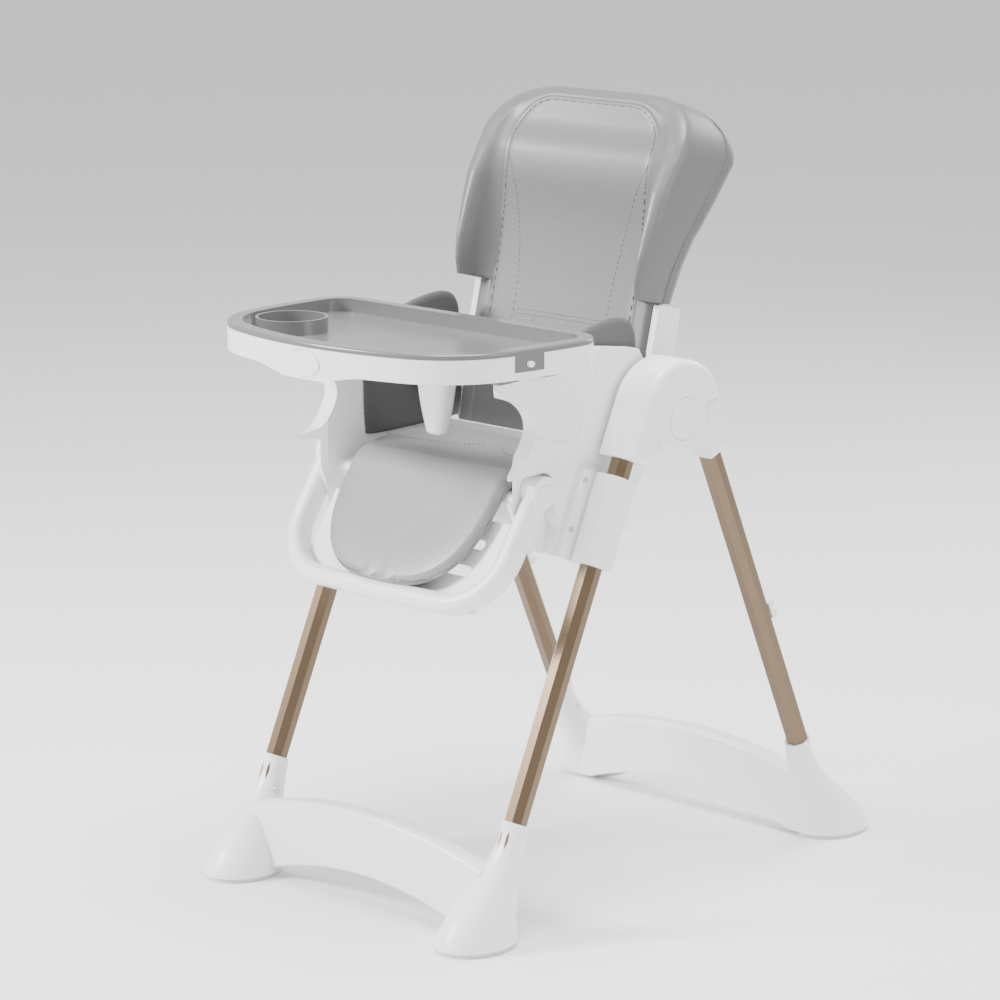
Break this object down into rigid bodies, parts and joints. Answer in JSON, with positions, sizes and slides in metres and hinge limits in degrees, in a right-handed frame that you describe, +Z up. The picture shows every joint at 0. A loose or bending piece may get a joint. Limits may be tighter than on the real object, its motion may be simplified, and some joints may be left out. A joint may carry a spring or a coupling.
{
  "type": "baby high chair",
  "caption": "Folding baby high chair: A-frame legs, height-adjustable padded seat, reclining back, swinging footrest and a two-layer sliding tray.",
  "frame": {"origin": "on the floor, midway between the front and the rear of the chair", "axes": "+Z up; the child faces -Y; +X is the child's left"},
  "size_m": [0.538, 0.861, 1.0467],
  "materials": {
    "white_plastic": "satin white moulded plastic",
    "leg_paint": "champagne brown satin paint",
    "foot_rubber": "pale grey matt rubber",
    "steel": "plated steel",
    "seat_leather": "light grey grained leatherette",
    "back_leather": "grey grained leatherette",
    "tray_grey": "grey satin moulded plastic"
  },
  "bodies": {
    "front_frame": {"front_foot": "white_plastic", "front_foot_pads": "foot_rubber", "front_leg_left": "leg_paint", "front_leg_right": "leg_paint", "front_hub_left": "white_plastic", "front_hub_right": "white_plastic", "hub_pins": "steel", "front_leg_screws": "steel"},
    "rear_frame": {"rear_foot": "white_plastic", "rear_foot_pads": "foot_rubber", "rear_leg_left": "leg_paint", "rear_leg_right": "leg_paint", "rear_hub_left": "white_plastic", "rear_hub_right": "white_plastic", "rear_leg_screws": "steel", "tray_hooks": "white_plastic"},
    "fold_button_left": {"fold_button_left": "white_plastic"},
    "fold_button_right": {"fold_button_right": "white_plastic"},
    "seat": {"seat_shell": "white_plastic", "sleeve_left": "white_plastic", "sleeve_right": "white_plastic", "sleeve_screws": "steel", "seat_pad": "seat_leather", "seat_side_pad_left": "back_leather", "seat_side_pad_right": "back_leather", "back_hinge_pins": "steel", "footrest_pins": "steel"},
    "height_lever_left": {"height_lever_left": "white_plastic"},
    "height_lever_right": {"height_lever_right": "white_plastic"},
    "back": {"back_shell": "white_plastic", "back_pad": "back_leather", "back_wing_left": "back_leather", "back_wing_right": "back_leather"},
    "recline_handle": {"recline_handle": "tray_grey"},
    "footrest": {"footrest_loop": "white_plastic", "footrest_caps": "white_plastic", "calf_pad": "seat_leather"},
    "tray": {"tray_base": "white_plastic", "tray_lugs": "tray_grey"},
    "tray_button": {"tray_button": "white_plastic"},
    "tray_top": {"tray_top": "tray_grey", "tray_top_studs": "white_plastic"}
  },
  "joints": [
    {"name": "fold", "type": "hinge", "parent": "front_frame", "child": "rear_frame", "pos_m": [0, 0, 0.645], "axis": [-1, 0, 0], "range_deg": [0, 40]},
    {"name": "fold_button_left", "type": "slide", "parent": "front_frame", "child": "fold_button_left", "axis": [-1, 0, 0], "range_m": [0, 0.004], "stiffness_N_per_m": 300},
    {"name": "fold_button_right", "type": "slide", "parent": "front_frame", "child": "fold_button_right", "axis": [1, 0, 0], "range_m": [0, 0.004], "stiffness_N_per_m": 300},
    {"name": "seat_height", "type": "slide", "parent": "front_frame", "child": "seat", "axis": [0, 0.4067, 0.9135], "range_m": [-0.22, 0]},
    {"name": "height_lever_left", "type": "slide", "parent": "seat", "child": "height_lever_left", "axis": [0, 0.4067, 0.9135], "range_m": [0, 0.005], "stiffness_N_per_m": 300},
    {"name": "height_lever_right", "type": "slide", "parent": "seat", "child": "height_lever_right", "axis": [0, 0.4067, 0.9135], "range_m": [0, 0.005], "stiffness_N_per_m": 300},
    {"name": "recline", "type": "hinge", "parent": "seat", "child": "back", "pos_m": [0, 0.045, 0.61], "axis": [-1, 0, 0], "range_deg": [0, 40]},
    {"name": "recline_handle", "type": "slide", "parent": "back", "child": "recline_handle", "axis": [0, 0.2079, 0.9781], "range_m": [0, 0.008], "stiffness_N_per_m": 300},
    {"name": "footrest", "type": "hinge", "parent": "seat", "child": "footrest", "pos_m": [0, -0.2025, 0.5685], "axis": [-1, 0, 0], "range_deg": [-18, 41]},
    {"name": "tray_slide", "type": "slide", "parent": "seat", "child": "tray", "axis": [0, -1, 0], "range_m": [0, 0.12]},
    {"name": "tray_button", "type": "slide", "parent": "tray", "child": "tray_button", "axis": [0, 1, 0], "range_m": [0, 0.004], "stiffness_N_per_m": 300},
    {"name": "tray_top_lift", "type": "slide", "parent": "tray", "child": "tray_top", "axis": [0, 0, 1], "range_m": [0, 0.05]}
  ]
}
